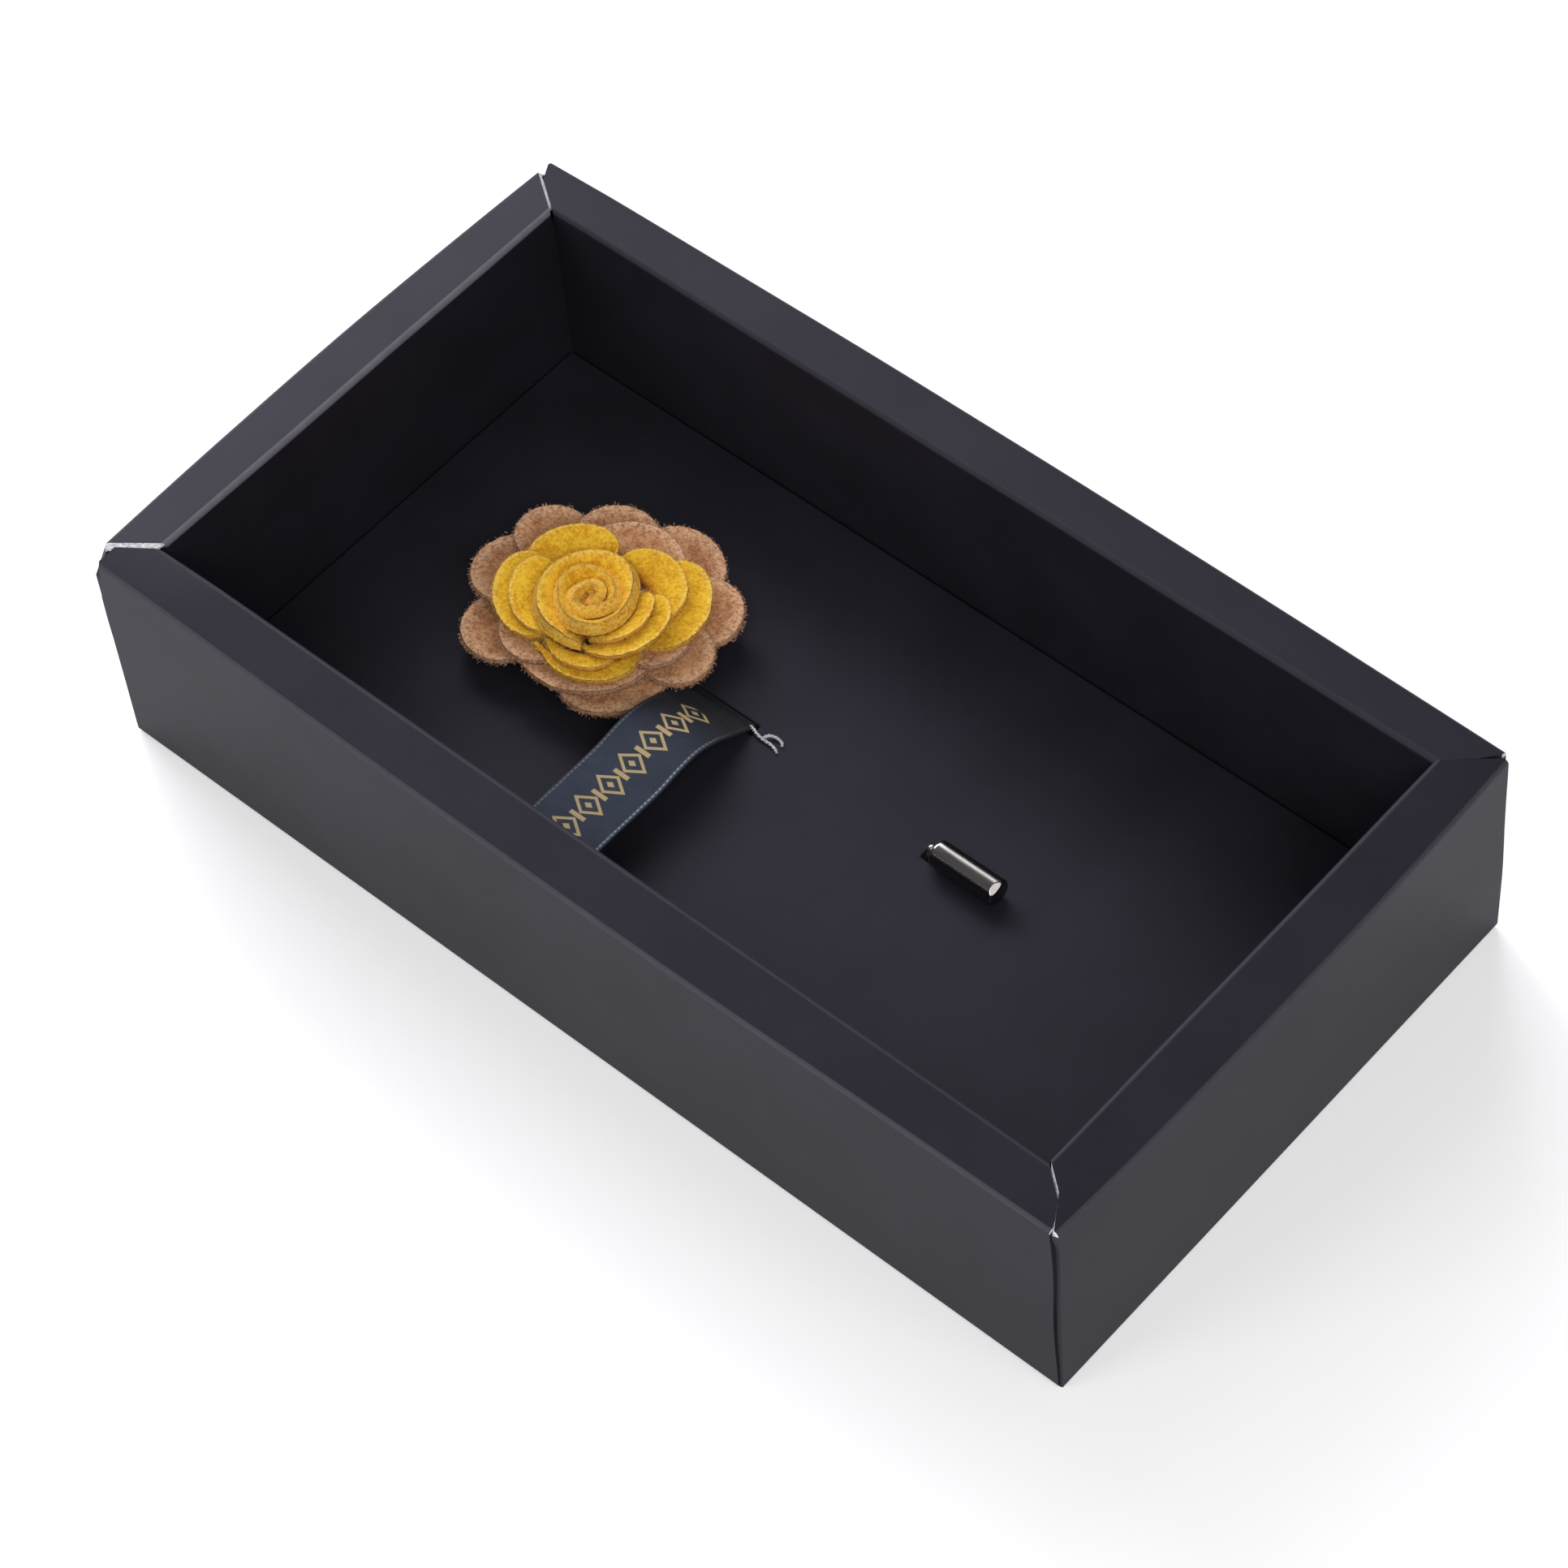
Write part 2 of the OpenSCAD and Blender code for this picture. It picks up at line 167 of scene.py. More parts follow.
def newSurface(name, fixed):
    surface = bpy.data.materials.new(name)
    surface.use_nodes = True
    tree = surface.node_tree
    shader = tree.nodes["Principled BSDF"]
    for socket, value in fixed.items():
        shader.inputs[socket].default_value = value
    place = tree.nodes.new("ShaderNodeTexCoord").outputs["Object"]
    inMm = Flow(tree, place).stretched((1 / mm,) * 3)
    return surface, shader, inMm


def feed(surface, shader, **flows):
    names = {"colour": "Base Color", "rough": "Roughness", "normal": "Normal"}
    for key, flow in flows.items():
        surface.node_tree.links.new(flow.socket, shader.inputs[names[key]])


def painted(inMm, name):  # a value stored on the mesh
    return inMm.node("ShaderNodeAttribute", {"attribute_name": name}, {}, out=2)


# Mesh helpers
def gridFaces(rows, columns, start=0, flip=False):
    faces = []
    for i in range(rows - 1):
        for j in range(columns - 1):
            a = start + i * columns + j
            face = (a, a + 1, a + columns + 1, a + columns)
            faces.append(face[::-1] if flip else face)
    return faces


def tubeFaces(rings, sides, start=0):
    faces = []
    for i in range(rings - 1):
        for j in range(sides):
            a, b = start + i * sides + j, start + i * sides + (j + 1) % sides
            faces.append((a, b, b + sides, a + sides))
    return faces


def addPiece(name, points, faces, surfaces, surfaceOf=None, values=None, body=mainBody, slot=None):
    # surfaceOf gives the surface of each face; values are kept on the points for the materials
    mesh = bpy.data.meshes.new(name)
    mesh.from_pydata([Vector(p) * mm for p in points], [], faces)
    for surface in surfaces:
        mesh.materials.append(surface)
    if surfaceOf:
        mesh.polygons.foreach_set("material_index", surfaceOf)
    for key, levels in (values or {}).items():
        layer = mesh.attributes.new(key, "FLOAT", "POINT")
        layer.data.foreach_set("value", levels)
    mesh.shade_smooth()
    mesh.update()
    piece = bpy.data.objects.new(name, mesh)
    scene.collection.objects.link(piece)
    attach(piece, body)
    return piece


def cleanMesh(piece, sharp, weld=0):
    # turns all faces outward and marks the edges above that angle; weld joins the points that near
    made = bmesh.new()
    made.from_mesh(piece.data)
    if weld:
        bmesh.ops.remove_doubles(made, verts=made.verts, dist=weld * mm)
    bmesh.ops.recalc_face_normals(made, faces=made.faces)
    made.to_mesh(piece.data)
    made.free()
    piece.data.set_sharp_from_angle(angle=math.radians(sharp))


def smoothStep(x, low, high):
    t = min(max((x - low) / (high - low), 0), 1)
    return t * t * (3 - 2 * t)


def roundedLine(corners, steps):
    # corners are (across, up, radius); each point of the line also says how much of a fold it lies on
    line = []
    for k, (x, z, r) in enumerate(corners):
        here = Vector((x, z))
        if not r:
            line.append((here, 0.0))
            continue
        back = (Vector(corners[k - 1][:2]) - here).normalized()
        ahead = (Vector(corners[k + 1][:2]) - here).normalized()
        half = math.acos(back.dot(ahead)) / 2
        mid = here + (back + ahead).normalized() * r / math.sin(half)
        start = here + back * r / math.tan(half) - mid
        end = here + ahead * r / math.tan(half) - mid
        turn = math.atan2(start.x * end.y - start.y * end.x, start.dot(end))
        for i in range(steps + 1):
            a = math.atan2(start.y, start.x) + turn * i / steps
            share = min(1, 2.6 * (1 - abs(2 * i / steps - 1)))  # full over most of the fold
            line.append((mid + r * Vector((math.cos(a), math.sin(a))), share))
    return line


def filledLine(line, longest, beside=0.15):
    # splits the long stretches of a line; points close beside the folds keep them flat
    filled = [line[0]]
    for (a, _), (b, fold) in zip(line, line[1:]):
        length = (b - a).length
        pieces = max(1, math.ceil(length / longest))
        shares = [i / pieces for i in range(1, pieces)]
        if length > 1:
            shares = [beside / length] + shares + [1 - beside / length]
        filled += [(a.lerp(b, t), 0.0) for t in shares] + [(b, fold)]
    return filled


def heading(path, k):  # the way that a path runs at its point k
    return (path[min(k + 1, len(path) - 1)] - path[max(k - 1, 0)]).normalized()


def besideLine(line, gap):  # the same line set off to its right
    path = [p for p, fold in line]
    shifted = []
    for k, (p, fold) in enumerate(line):
        run = heading(path, k)
        shifted.append((p + gap * Vector((-run.y, run.x)), fold))
    return shifted


# Lights and stage
studio = {
    "floor": tint(244, 244, 245),
    "floorGlow": 0.22,
    "floorHalf": 3000,
    "floorBelow": 0.2,  # under the tray, so that they don't touch
    "sky": (1.0, 1.0, 1.0, 1),
    "skyPower": 0.2,
    "lamps": [  # name, place, size, power in watts, colour
        ("backLeft", (-850, 700, 800), (600, 600), 5.6, (0.94, 0.93, 1.06)),
        ("left", (-1100, 300, 600), (600, 600), 10.0, (0.97, 0.96, 1.04)),
        ("backStrip", (-546, 806, 858), (300, 1300), 2.2, (1.0, 1.0, 1.0)),
        ("frontRight", (600, -600, 900), (600, 600), 6.6, (1.0, 1.0, 1.0)),
        ("right", (919, -65, 767), (600, 600), 2.5, (1.0, 1.0, 1.0)),
        ("frontLow", (-300, -900, 350), (400, 400), 2.6, (1.0, 1.0, 1.0)),
    ],
}


def makeStudio(s):
    world = bpy.data.worlds.new("studioSky")
    world.use_nodes = True
    sky = world.node_tree.nodes["Background"]
    sky.inputs[0].default_value = s["sky"]
    sky.inputs[1].default_value = s["skyPower"]
    scene.world = world
    scene.view_settings.view_transform = "Standard"
    scene.view_settings.look = "None"
    for name, place, size, power, colour in s["lamps"]:
        lamp = bpy.data.objects.new(name, bpy.data.lights.new(name, "AREA"))
        lamp.data.shape = "RECTANGLE"
        lamp.data.size, lamp.data.size_y = size[0] * mm, size[1] * mm
        lamp.data.energy = power
        lamp.data.color = colour
        lamp.location = Vector(place) * mm
        lamp.rotation_euler = (-lamp.location).to_track_quat("-Z", "Y").to_euler()
        scene.collection.objects.link(lamp)
    surface = newSurface("paleFloor", {"Roughness": 0.9, "Base Color": s["floor"],
                                       "Emission Color": s["sky"], "Emission Strength": s["floorGlow"]})[0]
    mesh = bpy.data.meshes.new("floor")
    half, below = s["floorHalf"] * mm, s["floorBelow"] * mm
    corners = [(x * half, y * half, -below) for x, y in ((-1, -1), (1, -1), (1, 1), (-1, 1))]
    mesh.from_pydata(corners, [], [(0, 1, 2, 3)])
    mesh.materials.append(surface)
    floor = bpy.data.objects.new("floor", mesh)
    scene.collection.objects.link(floor)


makeStudio(studio)
print("studio ready")

# Covered card
cardFinish = {
    "cover": tint(34, 33, 41),
    "mottle": tint(30, 29, 36),
    "mottleSize": 14,
    "rough": (0.45, 0.1),  # the least, and what the grain adds
    "grainSize": 0.3,
    "grainDepth": 0.006,
    "waveSize": 26,
    "waveDepth": 0.05,
    "shine": 0.14,
    "glow": (0.88, 0.86, 1.0, 1),  # tint of its reflections
    # lighter tone along the folds: part wear, part painted highlight
    "scuffAndHighlightTone": tint(116, 114, 122),
    "scuffAndHighlightSize": 2.2,
    "core": tint(240, 240, 244),
    "coreShade": tint(158, 157, 160),
    "layerSize": 0.5,
    "tornSize": 0.25,
    "tornDepth": 0.04,
}


def cardSurface(f, name, folds):
    surface, shader, inMm = newSurface(name, {"Specular IOR Level": f["shine"], "Specular Tint": f["glow"]})
    fine = inMm.grain(f["grainSize"], 4, 0.7)
    colour = inMm.grain(f["mottleSize"]).between(0.3, 0.7).blended(f["mottle"], f["cover"])
    if folds:
        # lighter along the folds, part wear and part painted highlight
        rub = painted(inMm, "fold") * (0.8 + 0.4 * inMm.grain(f["scuffAndHighlightSize"]))
        colour = rub.clipped().blended(colour, f["scuffAndHighlightTone"])
    least, more = f["rough"]
    wave = inMm.grain(f["waveSize"], 1).bump(f["waveDepth"])
    feed(surface, shader, colour=colour, rough=least + more * fine,
         normal=fine.bump(f["grainDepth"], normal=wave))
    return surface


def coreSurface(f):
    surface, shader, inMm = newSurface("cutCardEdge", {"Roughness": 0.85})
    layers = inMm.grain(f["layerSize"], stretch=(1, 1, 4)).between(0.3, 0.65)
    colour = layers.blended(f["coreShade"], f["core"])
    feed(surface, shader, colour=colour, normal=inMm.grain(f["tornSize"]).bump(f["tornDepth"]))
    return surface


card = cardSurface(cardFinish, "coveredCard", True)
insertCard = cardSurface(cardFinish, "insertCard", False)
core = coreSurface(cardFinish)

# Tray
trayShape = {
    "foot": (90.0, 49.0),  # outer faces at the floor, along the tray and across it
    "inside": (82.4, 41.4),  # inner faces
    "flange": 5,  # how far the foot of a wall turns in
    "wallTop": 41.0,
    "rimTop": 41.9,
    "card": 1.0,
    "footRadius": 0.8,
    "foldRadius": (0.75, 0.8),  # of the outer fold and the inner one
    "foldSteps": 6,
    "longest": 4.0,  # step between the points of a wall's section
    "stations": 44,  # steps along a wall
    "rub": {  # wear and painted highlight of the outer fold and the inner one, for each axis and side
        (0, -1): (0.12, 0.75),
        (1, -1): (0.25, 0.1),
        (0, 1): (0.22, 0.04),
        (1, 1): (0.1, 0.08),
    },
    "leanEnds": 0.35,  # outward lean of the top fold at the corners
    "leanMiddle": 1.35,  # and in the middle of a wall
    "wave": 0.12,
    "innerEnd": 0.9,  # how far the long walls' inner faces run on past the corner
    "longEnd": (89.35, 0.35),  # where the long walls end, and the hollow of that edge
    "shortEnd": (48.6, 48.6),  # where the short walls end, low and high
    # heights between which the end of a wall turns into the mitre
    "innerTurn": (38.6, 40.2),
    "longTurn": (33, 40),
    "shortTurn": (38.6, 39.8),
}
# Corners of the rims: where the mitre ends outside, the tip of the long rim, the gap in the
# mitre, how far the cut slants and how far the long rim sinks there. Two of them also say how
# far the short rim's fold goes on behind that tip, and where the short wall ends, low and high
cornerCuts = {
    (-1, -1): {"mitre": (90.3, 46.6), "tip": (87.6, 50.0), "gap": 0.8, "slant": 0.85, "sink": 0.45},
    (-1, 1): {"mitre": (90.2, 46.9), "tip": (89.8, 50.0), "gap": 0.45, "slant": 0.5, "sink": 0.2},
    (1, -1): {"mitre": (89.2, 46.7), "tip": (89.1, 49.7), "gap": 0.4, "slant": 0.28, "sink": 0.1,
              "behind": 2.7, "low": (48.7, 48.7)},
    (1, 1): {"mitre": (88.5, 47.3), "tip": (88.9, 48.7), "gap": 0.03, "slant": 0.0, "sink": 0.0,
             "behind": 0.9, "low": (49.2, 48.3)},
}


def cutOf(axis, side, end):
    return cornerCuts[(end, side) if axis else (side, end)]


def wallLine(t, foot, inside):  # the section of a wall, from its foot over the rim and down inside
    outer, inner = t["foldRadius"]
    corners = [(foot - t["flange"], 0, 0), (foot, 0, t["footRadius"]), (foot + t["leanEnds"], t["wallTop"], outer),
               (inside, t["rimTop"], inner), (inside, t["card"] + 0.1, 0)]
    return filledLine(roundedLine(corners, t["foldSteps"]), t["longest"])


def facesInside(t, out, inside, up):  # on the inner face of a wall, under its rim
    return out < inside + t["card"] + 0.05 and up < t["wallTop"] - 0.4


def longEnd(t, cut, out, up, inner):  # where a long wall ends, from its distance out and its height
    inX, inY = t["inside"]
    mitreX, mitreY = cut["mitre"]
    tipX, tipY = cut["tip"]
    if facesInside(t, out, inY, up):
        return inX + t["innerEnd"] * (1 - smoothStep(up, *t["innerTurn"]))
    if out <= mitreY:
        end = inX + max(out - inY, 0) * (mitreX - inX) / (mitreY - inY)
    else:
        end = mitreX + (tipX - mitreX) * min((out - mitreY) / (tipY - mitreY), 1)
    wallEnd, hollow = t["longEnd"]
    closed = wallEnd - hollow * math.sin(math.pi * smoothStep(up, 0, 30))
    low = 1 - smoothStep(up, *t["longTurn"])
    fade = smoothStep(out, mitreY - 0.3, mitreY + 0.3) if tipX < mitreX else 0
    slant = cut["slant"] * 0.4 * (1 - fade) * (1 - low) if inner else 0
    return end * (1 - low) + closed * low + slant


def shortEnd(t, cut, out, up, inner):  # the same for a short wall
    inX, inY = t["inside"]
    mitreX, mitreY = cut["mitre"]
    if facesInside(t, out, inX, up):
        return inY - cut["gap"] * smoothStep(up, *t["innerTurn"])
    end = inY + (min(max(out, inX), mitreX) - inX) * (mitreY - inY) / (mitreX - inX) - cut["gap"]
    behindAt = mitreX + 0.5 * cut["gap"]
    end += cut.get("behind", 0) * smoothStep(out, behindAt, behindAt + 0.15)
    lowEnd, highEnd = cut.get("low", t["shortEnd"])
    closed = lowEnd + (highEnd - lowEnd) * smoothStep(up, 8, 38)
    low = 1 - smoothStep(up, *t["shortTurn"])
    slant = cut["slant"] * (1 - low) if inner else 0
    return end * (1 - low) + closed * low + slant


def wallPoints(t, axis, side, outer, inner):
    # the outer layer of a wall and then its inner one, with the wear and painted highlight of each point
    foot, inside = t["foot"][axis], t["inside"][axis]
    outerScuffAndHighlight, innerScuffAndHighlight = t["rub"][(axis, side)]
    endAt = longEnd if axis else shortEnd
    points, scuffAndHighlight = [], []
    for layer, line in enumerate((outer, inner)):
        for i in range(t["stations"] + 1):
            q = 2 * i / t["stations"] - 1
            q = math.sin(q * math.pi / 2) * 0.35 + q * 0.65  # closer together near the corners
            cut = cutOf(axis, side, -1 if q < 0 else 1)
            for (p, fold), (outP, _) in zip(line, outer):
                far = q * endAt(t, cut, outP.x, outP.y, layer)
                share = max(0, min(1, (outP.x - inside) / (foot - inside)))
                bow = (t["leanMiddle"] - t["leanEnds"]) * (1 - q * q) * share * outP.y / t["wallTop"]
                up = p.y - cut["sink"] * max(0, abs(q) - 0.86) / 0.14 * smoothStep(outP.y, 39, 40.8) * axis
                ripple = noise.noise(Vector((far / 30, outP.x / 14 + side * 5, outP.y / 14)))
                out = p.x + bow + t["wave"] * ripple * smoothStep(outP.y, 2, 20)
                points.append((far, side * out, up) if axis else (side * out, far, up))
                scuffAndHighlight.append(fold * (innerScuffAndHighlight if outP.x < inside + 2.5 else outerScuffAndHighlight) * (outP.y > 20))
    return points, scuffAndHighlight


def wallFaces(t, axis, side, outer, start):
    # faces of a wall, and for each whether bare card shows there
    foot, inside = t["foot"][axis], t["inside"][axis]
    rows, n = t["stations"] + 1, len(outer)
    half = rows * n
    last = start + half - n
    flip = (side == 1) == bool(axis)
    layers = gridFaces(rows, n, start, flip) + gridFaces(rows, n, start + half, not flip)
    ends = [(start + j, start + j + 1, start + half + j + 1, start + half + j) for j in range(n - 1)]
    ends += [(last + j, last + half + j, last + half + j + 1, last + j + 1) for j in range(n - 1)]
    edges = [(a, a + n, a + n + half, a + half) for j in (0, n - 1) for a in range(start + j, last + j, n)]
    bare = []
    for end in (-1, 1):  # only where the corner is open
        bareFrom = inside + 0.2 if cutOf(axis, side, end)["slant"] else foot - 0.6
        bare += [int(outer[j][0].y > 39.8 and outer[j + 1][0].x > bareFrom) for j in range(n - 1)]
    return layers + ends + edges, [0] * len(layers) + bare + [0] * len(edges)


def makeTray(t):
    points, faces, bare, scuffAndHighlight = [], [], [], []
    for axis in (0, 1):  # 0 for the two short walls, 1 for the two long ones
        outer = wallLine(t, t["foot"][axis], t["inside"][axis])
        inner = besideLine(outer, t["card"])
        for side in (-1, 1):
            wallMade, wallBare = wallFaces(t, axis, side, outer, len(points))
            wallSpots, wallScuffAndHighlight = wallPoints(t, axis, side, outer, inner)
            points += wallSpots
            faces += wallMade
            bare += wallBare
            scuffAndHighlight += wallScuffAndHighlight
    x, y = (foot - t["flange"] + 0.1 for foot in t["foot"])
    base = len(points)
    points += [(sx * x, sy * y, z) for z in (0.0, t["card"]) for sx, sy in ((-1, -1), (1, -1), (1, 1), (-1, 1))]
    faces += [(base + 3, base + 2, base + 1, base), (base + 4, base + 5, base + 6, base + 7)]
    faces += tubeFaces(2, 4, base)
    bare += [0] * 6
    scuffAndHighlight += [0.0] * 8
    piece = addPiece("cardTray", points, faces, [card, core], bare, {"fold": scuffAndHighlight}, slot="card")
    cleanMesh(piece, 50)
    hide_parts("tray")


makeTray(trayShape)
print("tray made")


# Insert
insertEdges = {"weld": 0.002, "round": 0.3, "segments": 2, "angle": 30}


def dressInsert(e):
    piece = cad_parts["insert_card"]
    weld = piece.modifiers.new("weld", "WELD")
    weld.merge_threshold = e["weld"] * mm
    bevel = piece.modifiers.new("softEdge", "BEVEL")
    bevel.width = e["round"] * mm
    bevel.segments = e["segments"]
    bevel.angle_limit = math.radians(e["angle"])
    bevel.harden_normals = True
    for place in piece.material_slots:
        place.material = insertCard


dressInsert(insertEdges)
print("insert dressed")

# Felt
feltFinish = {
    # deep is the tone of the painted shade, also used for the dark fibres
    "tan": {"tip": tint(221, 167, 120), "mid": tint(166, 104, 64), "deep": tint(100, 42, 18),
            # edge is the tone of the painted highlight
            "edge": tint(246, 206, 168), "sheen": tint(255, 214, 186)},
    "yellow": {"tip": tint(246, 199, 54), "mid": tint(211, 147, 21), "deep": tint(186, 84, 8),
               "edge": tint(255, 220, 118), "sheen": tint(255, 214, 130)},
    "fibreSize": 0.2,
    "speckSize": 0.5,
    "clumpSize": 1.6,
    "broadSize": 6,
    "fibreDepth": 0.14,
}


def feltSurface(f, name, tones):
    surface, shader, inMm = newSurface(name, {
        "Sheen Weight": 0.22, "Sheen Roughness": 0.6, "Sheen Tint": tones["sheen"],
        "Specular IOR Level": 0.1, "Roughness": 0.95})
    fibres = inMm.grain(f["fibreSize"], 4, 0.75, stretch=(1, 1.4, 0.8))
    speck = inMm.grain(f["speckSize"], 3, 0.8)
    clump = inMm.grain(f["clumpSize"], 3, 0.65)
    broad = inMm.grain(f["broadSize"], 2)
    mottle = (speck * 0.9 + clump * 0.55 + broad * 0.35).between(0.72, 1.08)
    # painted shade from the depth values
    shade = painted(inMm, "depth") * (0.55 + 0.9 * clump)
    # painted highlight along the rims from the edge values
    rim = painted(inMm, "edge") * speck.between(0.34, 0.6) * 0.75
    colour = mottle.blended(tones["mid"], tones["tip"])
    colour = shade.clipped().blended(colour, tones["deep"])
    colour = rim.blended(colour, tones["edge"])
    colour = (fibres.between(0.46, 0.3) * 0.5).blended(colour, tones["deep"])
    relief = fibres + speck * 1.5
    feed(surface, shader, colour=colour, normal=relief.bump(f["fibreDepth"], 0.9))
    return surface


felts = {  # with how strong the painted shade at the foot of a petal is, and where that starts to fade
    "tan": {"surface": feltSurface(feltFinish, "tanFelt", feltFinish["tan"]), "slot": "tan_felt",
            "foot": (1.0, 0.45)},
    "yellow": {"surface": feltSurface(feltFinish, "yellowFelt", feltFinish["yellow"]), "slot": "yellow_felt",
               "foot": (0.7, 0.1)},
}

flower = {
    "reach": 22.5,
    "felt": 1.0,
    "rollMid": (1.0, -2.7),  # offset of the rolled strip from the flower's middle
    "across": 20,
    "along": 11,
    "fuzz": 0.3,  # depth of the rough surface
    "sag": 0.5,  # depth of its broad waves
}
# Petals, with the columns of the solids' own tables: facing and half spread in degrees, skew as a
# share of that half, foot radius, foot height, tip height and side tilt in thicknesses, reach and
# side reach as shares, and drift to the roll
petalColumns = ("facing", "half", "skew", "footR", "footZ", "tipZ", "reach", "tilt", "side", "drift")
petalRows = {
    "outer_petal": [
        (158, 25, 0, 1.5, 4.7, 5.4, 1.00, 1.05, 0.45, 0),
        (122, 29, 0, 1.5, 4.7, 5.3, 0.895, 1.00, 0.50, 0),
        (76, 32, 0, 1.5, 4.7, 5.2, 0.915, 1.00, 0.55, 0),
        (38, 25, 0, 1.5, 4.7, 5.2, 0.945, 1.05, 0.50, 0),
        (5, 24, 0, 1.5, 4.7, 5.2, 0.875, 0.90, 0.50, 0),
        (-40, 42, 0, 1.5, 2.7, 2.7, 0.763, 0, 0.62, 0),
        (226, 29, 0, 1.5, 4.1, 4.2, 0.94, 0.50, 0.50, 0),
        (187, 31, 0, 1.5, 4.7, 5.2, 0.99, 1.25, 0.50, 0)],
    "inner_petal": [
        (-66, 58, 0, 1.5, 6.2, 6.2, 0.71, 0, 0.70, 0),
        (-112, 34, 0, 1.5, 7.5, 7.5, 0.71, 0, 0.50, 0),
        (2, 34, 0, 1.5, 7.5, 7.5, 0.71, 0, 0.50, 0),
        (100, 44, 0, 1.5, 7.5, 7.5, 0.71, 0, 0.60, 0)],
    "yellow_petal": [
        (152, 37, 0.2, 10.1, 8.5, 9.3, 0.71, -0.50, 0.60, 0.52),
        (214, 40, -0.35, 9.2, 8.5, 10.4, 0.715, -0.30, 0.60, 0.52),
        (216, 43, -0.4, 7.7, 8.5, 11.5, 0.583, -0.20, 0.60, 0.70),
        (62, 45, 0, 8.7, 8.5, 10.2, 0.618, 0, 0.62, 0.70),
        (36, 42, 0.3, 10.2, 8.55, 9.0, 0.754, 0, 0.60, 0.52),
        (-60, 45, 0.3, 10.7, 8.55, 8.7, 0.618, 0, 0.62, 0.52),
        (-64, 35, 0.3, 8.8, 8.5, 9.9, 0.535, -0.10, 0.66, 0.70),
        (-5, 53, 0.3, 7.2, 8.5, 11.3, 0.545, 0, 0.60, 0.85),
        (0, 50, 0.3, 6.0, 8.5, 12.2, 0.425, 0, 0.66, 0.88)],
}


def curlNormal(rise, run, th):  # across a felt that starts flat and curls up
    return Vector((-rise * math.cos(th), run * math.sin(th) + 0.001)).normalized()


def petalPoint(f, p, u, s, face):
    # u runs from side to side and s from foot to tip; face is -1 below and 1 above
    felt = f["felt"]
    roundness = math.sqrt(max(0, 1 - u * u))
    lobe = p["side"] + (1 - p["side"]) * roundness
    height = p["tipZ"] - p["footZ"]
    rise = height * felt * (0.55 + 0.45 * roundness if p["drift"] else 1)
    foot = p["footR"] * felt
    run = max(p["reach"] * f["reach"] * lobe - foot, 0.7 * felt)
    th = math.pi / 2 * s
    normal = Vector((0, 1)) if height < 0.75 else curlNormal(rise, run, th)
    off = (p["tilt"] * u + face / 2) * felt
    r = foot + run * (1 - math.cos(th)) + normal.x * off
    z = p["footZ"] * felt + rise * math.sin(th) + normal.y * off
    az = math.radians(p["facing"] + p["half"] * (u + p["skew"] * (1 - u * u)))
    midX = f["rollMid"][0] if p["drift"] else 0
    midY = f["rollMid"][1] * p["drift"]
    return Vector((flowerMid.x + midX + r * math.cos(az), flowerMid.y + midY + r * math.sin(az), insertTop + z))


def foldedSheet(rows, columns, at, marks):
    # two faces of rows by columns points and the faces that close their rim
    points = [at(i, j, face) for face in (-1, 1) for i in range(rows) for j in range(columns)]
    n = rows * columns
    faces = gridFaces(rows, columns, 0, True) + gridFaces(rows, columns, n)
    rim = ([i * columns for i in range(rows - 1)] + [(rows - 1) * columns + j for j in range(columns - 1)]
           + [i * columns + columns - 1 for i in range(rows - 1, 0, -1)] + list(range(columns - 1, 0, -1)))
    faces += [(a, b, b + n, a + n) for a, b in zip(rim, rim[1:] + rim[:1])]
    values = {key: [mark(i, j, face) for face in (-1, 1) for i in range(rows) for j in range(columns)]
              for key, mark in marks.items()}
    return points, faces, values


def cloudTexture(name, size, detail):
    texture = bpy.data.textures.new(name, "CLOUDS")
    texture.noise_scale = size * mm
    texture.noise_depth = detail
    return texture


waveTexture = cloudTexture("feltWave", 6, 1)
roughTexture = cloudTexture("feltRough", 0.8, 2)


def roughen(piece, sag, fuzz):
    smooth = piece.modifiers.new("smooth", "SUBSURF")
    smooth.levels = smooth.render_levels = 2
    for texture, depth in ((waveTexture, sag), (roughTexture, fuzz)):
        push = piece.modifiers.new("push", "DISPLACE")
        push.texture = texture
        push.texture_coords = "LOCAL"
        push.strength = depth * mm
        push.mid_level = 0.5


def petalRim(f, p):  # places on the open rim, with the way out of the felt there
    rim = []
    for i in range(121):
        u = math.sin(math.pi * (i / 120 - 0.5))
        for face in (-1, 0, 1):
            spot = petalPoint(f, p, u, 1, face)
            rim.append((spot, (spot - petalPoint(f, p, u, 0.9, face)).normalized()))
    for i in range(40):
        s = 0.45 + 0.55 * i / 39
        for u in (-1, 1):
            spot = petalPoint(f, p, u, s, 0)
            rim.append((spot, (spot - petalPoint(f, p, u * 0.9, s, 0)).normalized()))
    return rim


